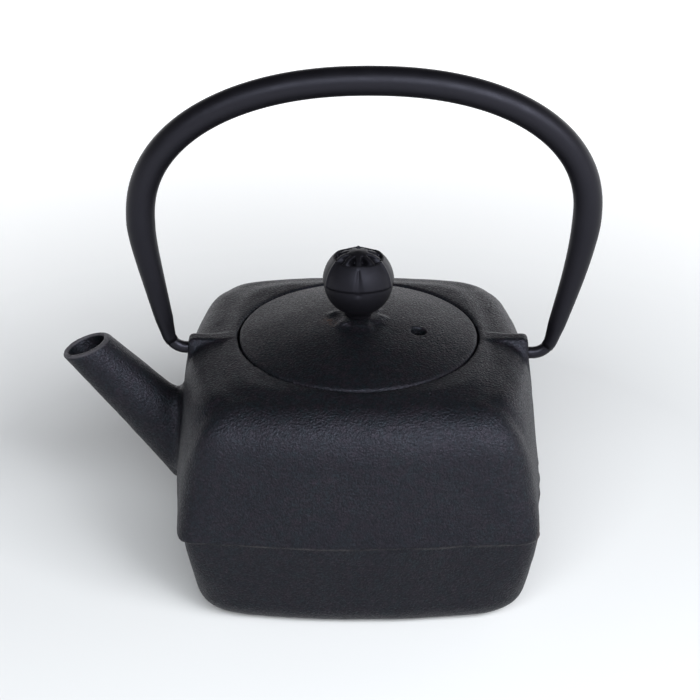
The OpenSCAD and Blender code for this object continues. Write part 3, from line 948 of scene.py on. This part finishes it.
def build_mesh_floor():
    node_low, node_high = mm_box("infuser_floor")
    r, z = node_high[0] - 0.2, 0.5 * (node_low[2] + node_high[2])
    pitch = WIRE_PITCH
    at = np.arange(-r + 0.6, r - 0.5, pitch)
    reach = np.sqrt(r * r - at * at)
    ends = (-1, 0, 1)
    along_y = np.stack([np.stack([at, e * reach, 0 * at + z - 0.12], 1) for e in ends], 1)
    along_x = np.stack([np.stack([e * reach, at, 0 * at + z + 0.12], 1) for e in ends], 1)
    points, faces = wires(np.concatenate([along_y, along_x]), WIRE_R * 0.6)
    make_piece(
        "infuser_mesh_floor", points, faces, [STEEL], "infuser", ["infuser_floor"]
    )


# ---- Light, floor and camera ----

# The room, as brightness near the horizon and a little above it: (degrees from behind, low, middle)
ROOM_SIDES = [(0, 2.1, 0.25), (60, 2.3, 1.0), (120, 1.0, 0.1), (300, 0.8, 0.1)]
ROOM_LOW, ROOM_MIDDLE, ROOM_HIGH = 0.75, 0.12, 0.02
# Where one brightness passes into the next, as the sine of the height above the horizon
LOW_TO_MIDDLE, MIDDLE_TO_HIGH = (0.10, 0.24), (0.40, 0.58)
# The floor lies just under the pot, and glows a little so that it stays pale away from the pot
FLOOR_HALF, FLOOR_DROP = 4.0, 0.0003
LAMP_DISTANCE = 1.1
VIEW_RISE = math.radians(27.27)
VIEW_TARGET = (-2.68, 0, 71.1)
VIEW_DISTANCE = 0.6
SENSOR_MM, LENS_MM = 36, 95.0837


def add_softbox(name, turn, rise, width, height, power, colour):
    """A rectangular light aimed at the pot. turn is degrees from straight behind, towards +X."""
    turn, rise = math.radians(turn), math.radians(rise)
    level = math.cos(rise)
    away = Vector((math.sin(turn) * level, math.cos(turn) * level, math.sin(rise)))
    light = bpy.data.lights.new(name, "AREA")
    light.energy = power
    light.color = colour
    light.shape = "RECTANGLE"
    light.size = width
    light.size_y = height
    lamp = bpy.data.objects.new(name, light)
    lamp.location = Vector((0, 0, 0.07)) + away * LAMP_DISTANCE
    lamp.rotation_euler = away.to_track_quat("Z", "Y").to_euler()
    bpy.context.scene.collection.objects.link(lamp)


def build_room():
    """A room that is bright near the horizon, on some sides more than others, and dark overhead."""
    world = bpy.data.worlds.new("studio")
    n = Nodes(world)
    direction = n.add("TexCoord").outputs["Generated"]
    x, y, z = n.add("SeparateXYZ", {0: direction}).outputs
    above_low, above_middle = [
        n.add("MapRange", {0: z, 1: start, 2: end}, interpolation_type="SMOOTHSTEP").outputs[0]
        for start, end in (LOW_TO_MIDDLE, MIDDLE_TO_HIGH)
    ]
    low = n.math("SUBTRACT", 1.0, above_low)
    middle = n.math("MULTIPLY", above_low, n.math("SUBTRACT", 1.0, above_middle))
    across = n.math("ADD", n.math("MULTIPLY", x, x), n.math("MULTIPLY", y, y))
    across = n.math("SQRT", n.math("ADD", across, 1e-6), 0.0)
    low_sum, middle_sum = ROOM_LOW, ROOM_MIDDLE
    for turn, low_part, middle_part in ROOM_SIDES:
        turn = math.radians(turn)
        facing = n.math("MULTIPLY", x, math.sin(turn))
        facing = n.math("ADD", facing, n.math("MULTIPLY", y, math.cos(turn)))
        lobe = n.math("MAXIMUM", n.math("DIVIDE", facing, across), 0.0001)
        lobe = n.math("POWER", lobe, 4.0)
        low_sum = n.math("ADD", n.math("MULTIPLY", lobe, low_part), low_sum)
        middle_sum = n.math("ADD", n.math("MULTIPLY", lobe, middle_part), middle_sum)
    total = n.math("ADD", n.math("MULTIPLY", low, low_sum), n.math("MULTIPLY", middle, middle_sum))
    total = n.math("ADD", total, n.math("MULTIPLY", above_middle, ROOM_HIGH))
    background = n.add("Background", {"Color": (0.97, 0.97, 1.0, 1), "Strength": total})
    n.add("OutputWorld", {0: background.outputs[0]})
    bpy.context.scene.world = world


def build_stage():
    floor_mesh = bpy.data.meshes.new("floor")
    corners = [(x * FLOOR_HALF, y * FLOOR_HALF, 0) for x, y in ((-1, -1), (1, -1), (1, 1), (-1, 1))]
    floor_mesh.from_pydata(corners, [], [(0, 1, 2, 3)])
    floor = bpy.data.objects.new("floor", floor_mesh)
    floor.location.z = -FLOOR_DROP
    bpy.context.scene.collection.objects.link(floor)
    n = new_nodes("pale_floor")
    far = n.add("VectorMath", {0: n.place()}, operation="LENGTH").outputs["Value"]
    near_glow = n.spread(far, 0.15, 0.5, 0.03, 0.9)
    far_glow = n.spread(far, 0.6, 1.2, 0.0, 0.8)
    floor_mesh.materials.append(n.finish(
        Base_Color=rgb(0.72, 0.72, 0.72), Roughness=0.9, Emission_Color=rgb(0.98, 0.99, 1.0),
        Emission_Strength=n.math("ADD", near_glow, far_glow),
    ))
    build_room()
    add_softbox(
        "front_light", turn=178, rise=37, width=1.2, height=0.42, power=16, colour=(0.93, 0.97, 1)
    )
    add_softbox(
        "side_light", turn=140, rise=34, width=0.6, height=0.5, power=10, colour=(0.95, 0.97, 1)
    )
    bpy.context.scene.view_settings.view_transform = "Standard"


def build_camera():
    data = bpy.data.cameras.new("camera")
    data.sensor_width = SENSOR_MM
    data.lens = LENS_MM
    data.clip_start = 0.01
    camera = bpy.data.objects.new("camera", data)
    back = Vector((0, -math.cos(VIEW_RISE), math.sin(VIEW_RISE)))
    camera.location = Vector(VIEW_TARGET) * MM + VIEW_DISTANCE * back
    camera.rotation_euler = (math.pi / 2 - VIEW_RISE, 0, 0)
    bpy.context.scene.collection.objects.link(camera)
    bpy.context.scene.camera = camera


build_pot()
build_lid()
build_knob()
build_washer()
build_tube()
build_hook("hook_spout_side", "handle_hook_spout_side", -1)
build_hook("hook_rear_side", "handle_hook_rear_side", 1)
build_infuser_rim()
build_base_ring()
build_mesh_wall()
build_mesh_floor()
build_stage()
build_camera()
